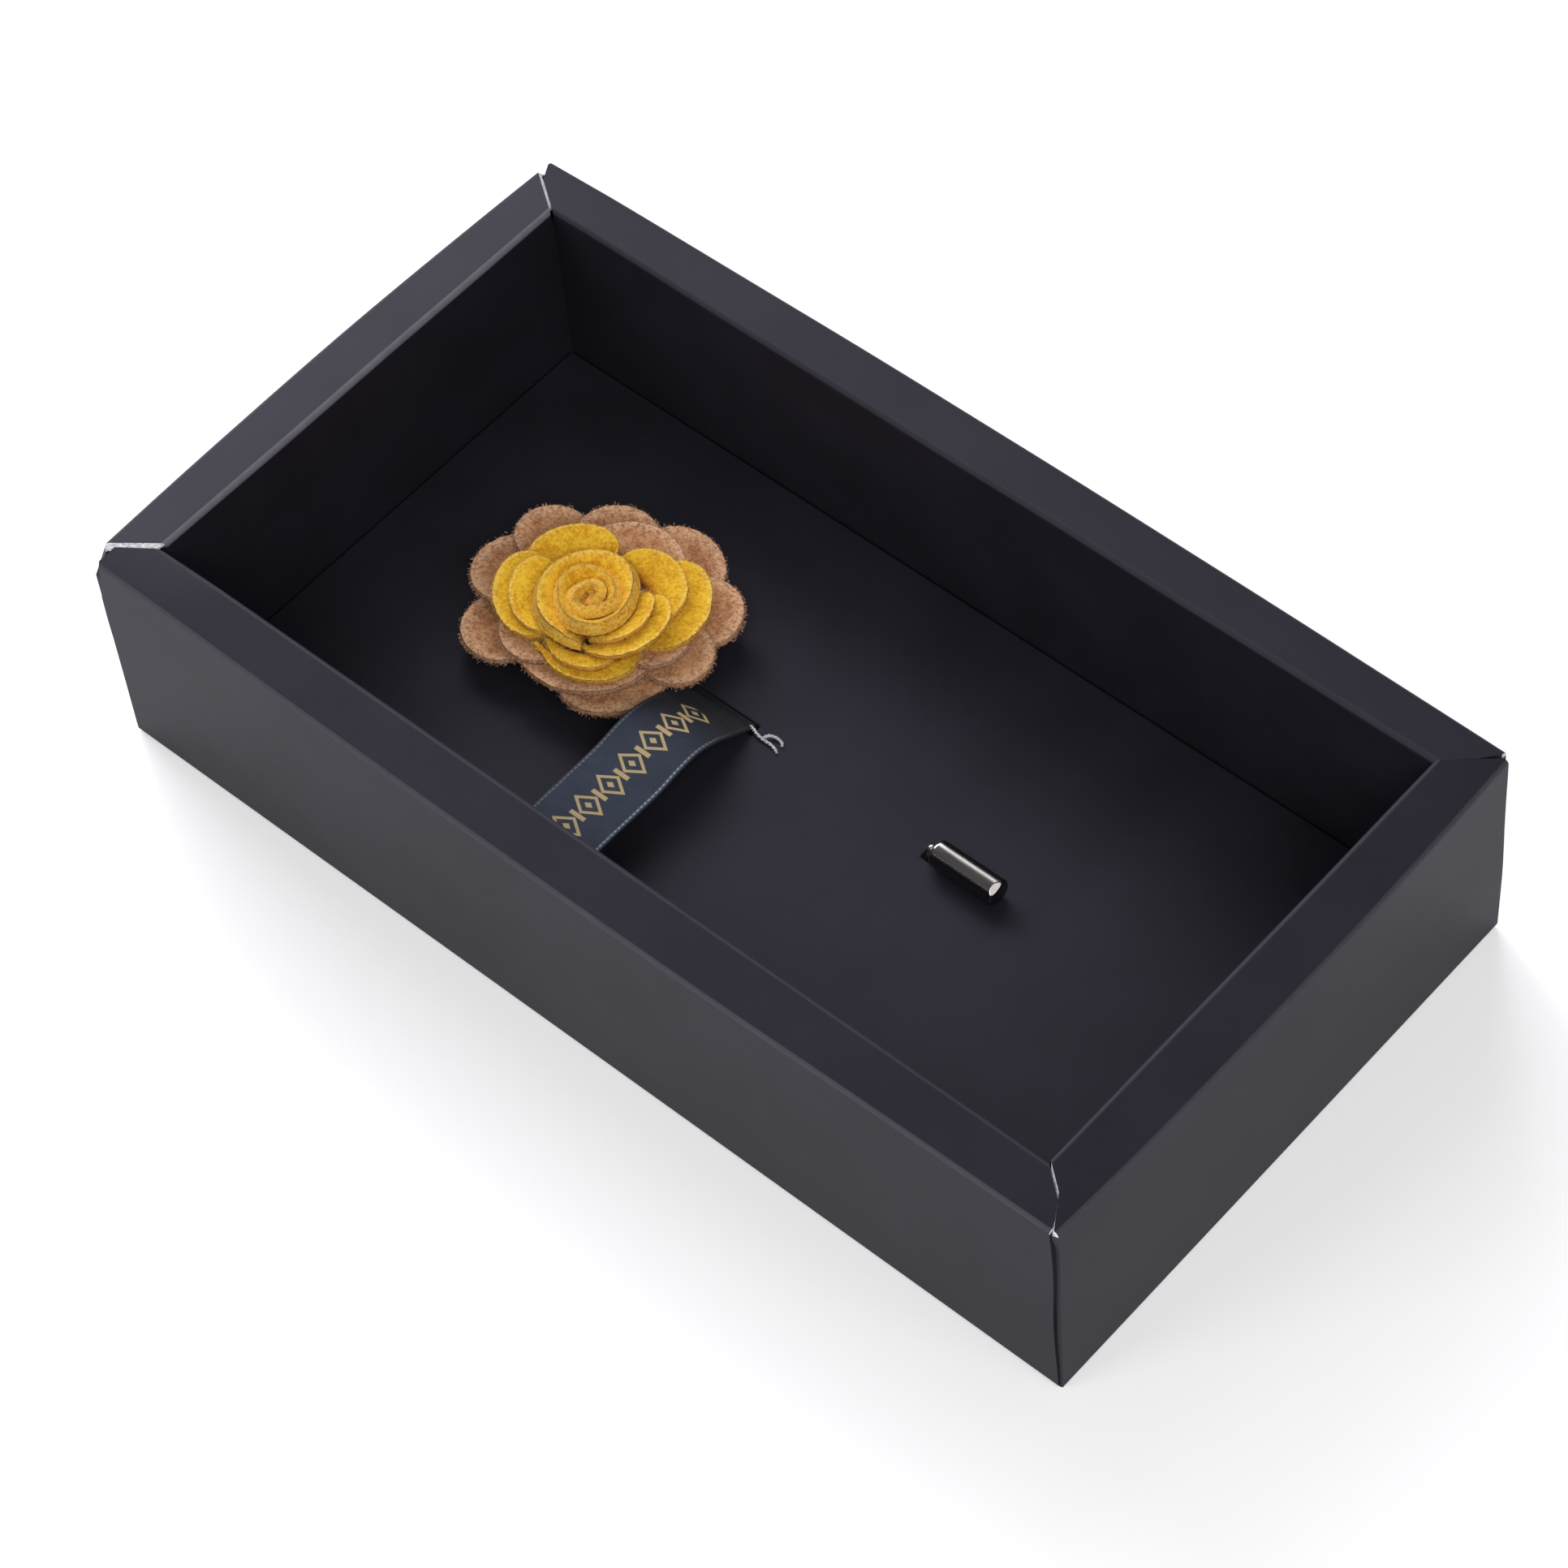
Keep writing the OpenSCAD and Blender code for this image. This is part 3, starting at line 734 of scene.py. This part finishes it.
def makePetal(f, name, p, felt):
    us = [math.sin(math.pi * (i / f["across"] - 0.5)) for i in range(f["across"] + 1)]
    ss = [0.92 * j / (f["along"] - 2) for j in range(f["along"] - 1)] + [0.975, 1.0]
    footShade, fadeAt = felt["foot"]

    def edge(i, j, face):  # painted highlight along the cut edge, on the upper face
        sides = smoothStep(abs(us[i]), 0.95, 0.995) * smoothStep(ss[j], 0.3, 0.6)
        return max(smoothStep(ss[j], 0.93, 0.99), sides) if face > 0 else 0.0

    def depth(i, j, face):  # painted shade at the foot and on the underside
        return min(1, (0 if face > 0 else 0.85) + footShade * (1 - smoothStep(ss[j], fadeAt, fadeAt + 0.4)))

    points, faces, values = foldedSheet(
        len(us), len(ss), lambda i, j, face: petalPoint(f, p, us[i], ss[j], face), {"edge": edge, "depth": depth})
    piece = addPiece(name, points, faces, [felt["surface"]], values=values, slot=felt["slot"])
    roughen(piece, f["sag"], f["fuzz"])
    return piece


def makeFlower(f):
    rims = {"tan": [], "yellow": []}
    for group, rows in petalRows.items():
        kind = "yellow" if group == "yellow_petal" else "tan"
        for k, row in enumerate(rows):
            p = dict(zip(petalColumns, row))
            piece = makePetal(f, f"{group.split('_')[0]}Petal{k + 1}", p, felts[kind])
            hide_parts(f"{group}_{k + 1}")
            rims[kind].append(petalRim(f, p))
    return rims


rims = makeFlower(flower)
print("petals made")

roll = {
    "start": -0.35,  # turns
    "turns": 3,
    "step": 40,  # points in a turn
    "rows": 9,
    "felt": 1.25,
    "lip": 0.85,  # how much thicker the felt puffs up at the rim
    "footR": (0.9, 1.47),  # first turn and growth per turn
    "rimR": (1.2, 2.5),
    "low": 8.2,
    "top": (13.4, -0.45),
    "end": -60,
    "lean": 58,
    "waves": 936,  # degrees of its waves in a turn
    "wave": 0.25,  # their depth on the radius
    "topWave": 0.2,  # and on the height
    "dip": 1.1,  # how much lower the first turn starts
    "tuck": (0.7, 1.6),  # how far the loose end is tucked in and down
    "swell": (130, 0.9, 0.6),  # the way it swells, and how far out and up
    "sag": 0.2,
}


def rollPoint(c, f, i, j, face):
    q = c["start"] + i / c["step"]
    az = math.radians(c["end"] - 360 * (c["turns"] - q))
    wave = c["wave"] * math.sin(math.radians(c["waves"] * q)) * min(max(q, 0), 1)
    foot = c["footR"][0] + c["footR"][1] * q
    rim = c["rimR"][0] + c["rimR"][1] * q + wave
    top = c["top"][0] + c["top"][1] * q + c["topWave"] * math.sin(math.radians(c["waves"] * q + 57))
    top -= c["dip"] * (1 - smoothStep(q, c["start"], 0.25))
    tuck = smoothStep(q, c["turns"] - 0.1, c["turns"])
    tuckIn, tuckDown = c["tuck"]
    way, out, up = c["swell"]
    swell = max(0, math.cos(az - math.radians(way))) * min(max(q / 2.5, 0), 1)
    rim, top = rim - tuckIn * tuck + out * swell, top - tuckDown * tuck + up * swell
    lean = math.radians(c["lean"])
    run = (rim - foot) / (1 - math.cos(lean))
    rise = (top - c["low"]) / math.sin(lean)
    th = lean * j / c["rows"]
    normal = curlNormal(rise, run, th)
    lip = c["lip"] * smoothStep(j / c["rows"], 0.15, 0.8) * (1 - 0.5 * tuck)
    off = -c["felt"] / 2 if face < 0 else c["felt"] / 2 + lip
    r = foot + run * (1 - math.cos(th)) + normal.x * off
    z = c["low"] + rise * math.sin(th) + normal.y * off
    return Vector((flowerMid.x + f["rollMid"][0] + r * math.cos(az),
                   flowerMid.y + f["rollMid"][1] + r * math.sin(az), insertTop + z))


def makeRoll(c, f):  # gives back the places on its rim
    steps = round((c["turns"] - c["start"]) * c["step"])
    felt = felts["yellow"]

    # painted highlight along the rim of the strip, weaker on its other face
    def edge(i, j, face):
        return smoothStep(j / c["rows"], 0.85, 1.0) * (1 if face > 0 else 0.3)

    # painted shade at the foot of each turn, on the back face and in the heart of the roll
    def depth(i, j, face):
        foot = (1 - smoothStep(j / c["rows"], 0.2, 0.75)) * 0.9
        heartShade = 0.6 * (1 - smoothStep(i / steps, 0, 0.22))
        return min(1, foot + (0 if face > 0 else 0.35) + heartShade)

    points, faces, values = foldedSheet(
        steps + 1, c["rows"] + 1, lambda i, j, face: rollPoint(c, f, i, j, face), {"edge": edge, "depth": depth})
    piece = addPiece("rolledCentre", points, faces, [felt["surface"]], values=values, slot=felt["slot"])
    roughen(piece, c["sag"], f["fuzz"])
    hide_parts("rolled_centre")
    spots = [rollPoint(c, f, i, c["rows"], face) for i in range(steps + 1) for face in (-1, 0, 1)]
    return [(spot, Vector((0, 0, 1))) for spot in spots]


rims["yellow"] += [makeRoll(roll, flower)] * 3  # it gets the fibres of three petals

fibres = {
    "tan": {"count": 1100, "length": 0.45, "seed": 3},  # the count is for each rim
    "yellow": {"count": 900, "length": 0.38, "seed": 4},
    "vary": (0.4, 1.2),  # shortest and longest, as shares of the length
    "lean": 0.9,
    "spread": 0.35,  # of their roots about the rim
    "sunk": 0.15,
    "knee": 0.55,  # where they bend, as a share of their length
    "bend": 0.3,
    "halfWidth": (0.025, 0.05),
}


def anyWay(pick):
    return Vector([pick.uniform(-1, 1) for _ in range(3)])


def makeFuzz(c, kind, rims):  # short loose fibres that stand off the felt
    pick = random.Random(c[kind]["seed"])
    points, faces = [], []
    for rim in rims:
        for _ in range(c[kind]["count"]):
            spot, outward = rim[pick.randrange(len(rim))]
            way = (outward + c["lean"] * anyWay(pick)).normalized()
            side = way.cross(anyWay(pick)).normalized()
            root = spot + c["spread"] * anyWay(pick) - c["sunk"] * outward
            long = c[kind]["length"] * pick.uniform(*c["vary"])
            bend = side.cross(way) * pick.uniform(-c["bend"], c["bend"]) * long
            half = side * pick.uniform(*c["halfWidth"])
            knee = root + way * long * c["knee"] + bend
            k = len(points)
            points += [root - half, root + half, knee + half * 0.8, knee - half * 0.8, root + way * long]
            faces += [(k, k + 1, k + 2, k + 3), (k + 3, k + 2, k + 4)]
    # the fibres take the painted highlight tone all over, and no painted shade
    n = len(points)
    addPiece(f"{kind}Fuzz", points, faces, [felts[kind]["surface"]], values={"edge": [1.0] * n, "depth": [0.0] * n},
             slot=felts[kind]["slot"])


makeFuzz(fibres, "tan", rims["tan"])
makeFuzz(fibres, "yellow", rims["yellow"])
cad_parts["backing_disc"].material_slots[0].material = felts["tan"]["surface"]
print("flower made")

# Ribbon
ribbonShape = {
    "width": ribbonHigh.x - ribbonLow.x,
    "thick": 0.35,
    "tail": 4.5,
    "back": ribbonHigh.y,
    "run": 41.5,
    "rise": 6.5,
    "crown": 0.25,  # the middle stands this much higher than the edges
    # the arch: share of the run and share of the rise
    "arch": [(0, .04), (.03, .13), (.1, .43), (.19, .78), (.285, .99), (.385, .98), (.49, .88), (.63, .87),
             (.8, .87), (.9, .76), (.965, .47), (.99, .18), (1, .04)],
    "columns": 25,
}
ribbonFinish = {
    "base": tint(50, 59, 76),
    "shade": tint(32, 39, 52),
    "slitShade": tint(11, 12, 18),  # painted shade where it dips into the slit beside the flower
    "slitShadeSpan": (25, 9),  # where that starts, and where it is full
    "edge": tint(150, 154, 154),
    "edgeLine": 0.42,  # its distance from the edge
    "edgePitch": 0.8,
    "threads": 0.32,
    "gold": tint(196, 172, 122),
    "motifPitch": 4.7,
    "motifHalf": 3.0,
    "motifSpan": (10.4, 44.6),
}
threadShape = {  # the loose thread at the ribbon's corner
    "tone": tint(214, 212, 214),
    "start": (ribbonHigh.x, ribbonHigh.y + 0.4, insertTop),
    "ply": 0.15,  # radius of one ply
    "twist": 0.9,
    "sides": 8,
    "strands": [  # their points from the corner, along the card, and their heights above it
        [(-0.5, -1.1, 0.5), (0.4, -1.3, 0.6), (1.3, -1.6, 0.5), (2.6, -1.7, 0.35),
         (3.9, -1.7, 0.3), (5.0, -1.9, 0.25), (5.7, -2.3, 0.2)],
        [(2.5, -1.5, 0.6), (2.9, -0.8, 0.6), (3.6, -0.3, 0.35), (4.3, -0.25, 0.25),
         (5.0, -0.4, 0.2), (5.5, -0.9, 0.2)],
    ],
}


def smoothedPath(points, steps):  # Catmull-Rom through the points
    path = []
    for k in range(len(points) - 1):
        p0, p1, p2, p3 = (points[min(max(k + d, 0), len(points) - 1)] for d in (-1, 0, 1, 2))
        for i in range(steps):
            t = i / steps
            path.append(0.5 * ((2 * p1) + (p2 - p0) * t + (2 * p0 - 5 * p1 + 4 * p2 - p3) * t * t
                               + (3 * p1 - p0 - 3 * p2 + p3) * t ** 3))
    return path + [points[-1]]


def ribbonSurface(f, width):
    surface, shader, inMm = newSurface("wovenRibbon", {
        "Sheen Weight": 0.1, "Sheen Roughness": 0.35, "Specular IOR Level": 0.22})
    across = painted(inMm, "across")
    along = painted(inMm, "along")
    warp = (across * (math.tau / f["threads"])).maths("SINE") * 0.5 + 0.5
    weft = (along * (math.tau / f["threads"])).maths("SINE") * 0.5 + 0.5
    weave = warp * weft + (1 - warp) * (1 - weft)
    colour = (weave * 0.55 + inMm.grain(2.5) * 0.5).between(0.2, 0.85).blended(f["shade"], f["base"])
    edgeLine = abs(abs(across) - (width / 2 - f["edgeLine"])).between(0.22, 0.1)
    stitch = (along * (math.tau / f["edgePitch"])).maths("SINE").between(-0.5, 0.5)
    edge = edgeLine * (0.25 + 0.5 * stitch) * (0.75 + across * 0.05)
    colour = edge.clipped().blended(colour, f["edge"])
    # painted shade towards the slit
    colour = (along.between(*f["slitShadeSpan"]) * 0.93).blended(colour, f["slitShade"])
    pitch = f["motifPitch"]
    cell = abs((along / pitch).maths("FRACT") - 0.5) * pitch
    lozenge = cell / (pitch * 0.42) + abs(across) / f["motifHalf"]
    ring = abs(lozenge - 0.82).between(0.17, 0.11)
    dot = lozenge.between(0.3, 0.22)
    bar = abs(cell - pitch / 2).between(0.42, 0.3) * abs(across).between(1.5, 1.3)
    start, end = f["motifSpan"]
    span = along.between(start, start + 0.4) * along.between(end, end - 0.4)
    gold = (ring.maths("MAXIMUM", dot).maths("MAXIMUM", bar) * span * (0.65 + 0.35 * weave)).clipped()
    colour = gold.blended(colour, f["gold"])
    rough = 0.6 - gold * 0.12 + weave * 0.08
    feed(surface, shader, colour=colour, rough=rough, normal=(weave + gold * 0.6).bump(0.05))
    return surface


def threadSurface(c):
    surface, shader, inMm = newSurface("looseThread", {"Sheen Weight": 0.4, "Sheen Roughness": 0.5, "Roughness": 0.8})
    colour = inMm.grain(0.3, 3, 0.7).between(0.3, 0.65).blended(darker(c["tone"], 0.5), c["tone"])
    feed(surface, shader, colour=colour, normal=inMm.grain(0.12, 2).bump(0.03))
    return surface


def makeThread(c):  # two plies twisted together along each strand
    sides, points, faces = c["sides"], [], []
    for strand in c["strands"]:
        path = smoothedPath([Vector(c["start"]) + Vector(p) for p in strand], 6)
        for turn in (0, math.pi):
            first = len(points)
            for k, p in enumerate(path):
                run = heading(path, k)
                side = run.cross(Vector((0, 0, 1))).normalized()
                up = side.cross(run)
                a = turn + c["twist"] * k
                mid = p + c["ply"] * 0.85 * (side * math.cos(a) + up * math.sin(a))
                thin = 1 - 0.5 * smoothStep(k / (len(path) - 1), 0.85, 1)
                for j in range(sides):
                    b = math.tau * j / sides
                    points.append(mid + c["ply"] * thin * (side * math.cos(b) + up * math.sin(b)))
            faces += tubeFaces(len(path), sides, first)
            faces += [tuple(reversed(range(first, first + sides))), tuple(range(len(points) - sides, len(points)))]
    return addPiece("threadEnd", points, faces, [threadSurface(c)], slot="ribbon")


def makeRibbon(r):
    line = [Vector((r["back"], insertTop - r["tail"]))]
    line += [Vector((r["back"] - a * r["run"], insertTop + b * r["rise"])) for a, b in r["arch"]]
    line += [Vector((r["back"] - r["run"], insertTop - r["tail"]))]
    path = smoothedPath(line, 7)
    travel = [0.0]
    for a, b in zip(path, path[1:]):
        travel.append(travel[-1] + (b - a).length)
    middle = (ribbonLow.x + ribbonHigh.x) / 2
    half = r["width"] / 2
    spots = [half * math.sin(math.pi * (j / (r["columns"] - 1) - 0.5)) for j in range(r["columns"])]

    def at(i, j, face):
        run = heading(path, i)
        normal = Vector((run.y, -run.x))
        free = smoothStep(min(travel[i], travel[-1] - travel[i]), 5, 12)
        arch = r["crown"] * free * (1 - (spots[j] / half) ** 2)
        p = path[i] + normal * ((face - 1) / 2 * r["thick"] + arch - r["crown"] * free)
        return Vector((middle + spots[j], p.x, p.y))

    marks = {"across": lambda i, j, face: spots[j], "along": lambda i, j, face: travel[i]}
    points, faces, values = foldedSheet(len(path), r["columns"], at, marks)
    piece = addPiece("wovenRibbon", points, faces, [ribbonSurface(ribbonFinish, r["width"])], values=values,
                     slot="ribbon")
    piece.data.set_sharp_from_angle(angle=math.radians(50))
    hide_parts("ribbon")
    makeThread(threadShape)
    print("ribbon made, flat length", round(travel[-1], 1))


makeRibbon(ribbonShape)

# Metal
metalFinish = {
    "stopper": {"tone": tint(150, 146, 144), "rough": 0.16},
    "needle": {"tone": tint(196, 194, 190), "rough": 0.3},
    "scratchSize": 0.5,
}


def metalSurface(f, name, tone, rough):
    surface, shader, inMm = newSurface(name, {"Metallic": 1.0})
    drawn = inMm.grain(f["scratchSize"], 4, 0.6, stretch=(0.12, 1, 1))
    colour = drawn.between(0.3, 0.75).blended(darker(tone, 0.82), tone)
    feed(surface, shader, colour=colour, rough=rough + 0.1 * drawn, normal=drawn.bump(0.004))
    return surface


stopperMetal = metalSurface(metalFinish, "polishedStopper", **metalFinish["stopper"])
needleMetal = metalSurface(metalFinish, "drawnWire", **metalFinish["needle"])

# Stopper: turned from a profile of (along, radius), with a small flat struck on its free end
stopperShape = {
    "roundLeft": 0.85,
    "roundRight": 0.5,
    "bore": 0.57,
    "boreDeep": 9.2,
    "mouth": (0.7, 1.15),  # depth and radius of the funnel
    "flatWay": (0.6, -0.25, 0.76),
    "flatDepth": 1.2,  # distance of the flat from the middle of the free end
    "struck": 1.4,  # length of the closer rings there
    "sides": 72,
}


def stopperLine(c, length, radius):  # from the bottom of the bore to the middle of the free end
    deep, wide = c["mouth"]
    left, right = c["roundLeft"], c["roundRight"]
    plain = length - c["struck"]
    line = [(c["boreDeep"], 0.0), (c["boreDeep"], c["bore"]), (deep, c["bore"]), (0.0, wide)]
    for k in range(11):
        a = math.pi / 20 * k
        line.append((left - left * math.cos(a), radius - left + left * math.sin(a)))
    line += [(left + (plain - left) * k / 8, radius) for k in range(1, 9)]
    line += [(plain + (c["struck"] - right) * k / 15, radius) for k in range(1, 15)]
    for k in range(9):
        a = math.pi / 16 * k
        line.append((length - right + right * math.sin(a), radius - right + right * math.cos(a)))
    return line + [(length, (radius - right) * (1 - k / 12)) for k in range(1, 13)]


def makeStopper(c):
    low, high = (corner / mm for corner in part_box("stopper"))
    radius, length = (high.z - low.z) / 2, high.x - low.x
    middle = (low + high) / 2
    line = stopperLine(c, length, radius)
    way = Vector(c["flatWay"]).normalized()
    points = []
    for x, r in line:
        for j in range(c["sides"]):
            a = math.tau * j / c["sides"]
            y, z = r * math.cos(a), r * math.sin(a)
            ahead, aside = way.x * (x - length), way.y * y + way.z * z
            if aside > 0 and ahead + aside > c["flatDepth"]:
                shrink = (c["flatDepth"] - ahead) / aside
                y, z = y * shrink, z * shrink
            points.append((low.x + x, middle.y + y, middle.z + z))
    piece = addPiece("turnedStopper", points, tubeFaces(len(line), c["sides"]), [stopperMetal], body="stopper",
                     slot="stopper")
    cleanMesh(piece, 40, weld=0.005)
    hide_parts("stopper")


makeStopper(stopperShape)
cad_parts["needle"].material_slots[0].material = needleMetal
print("metal dressed")
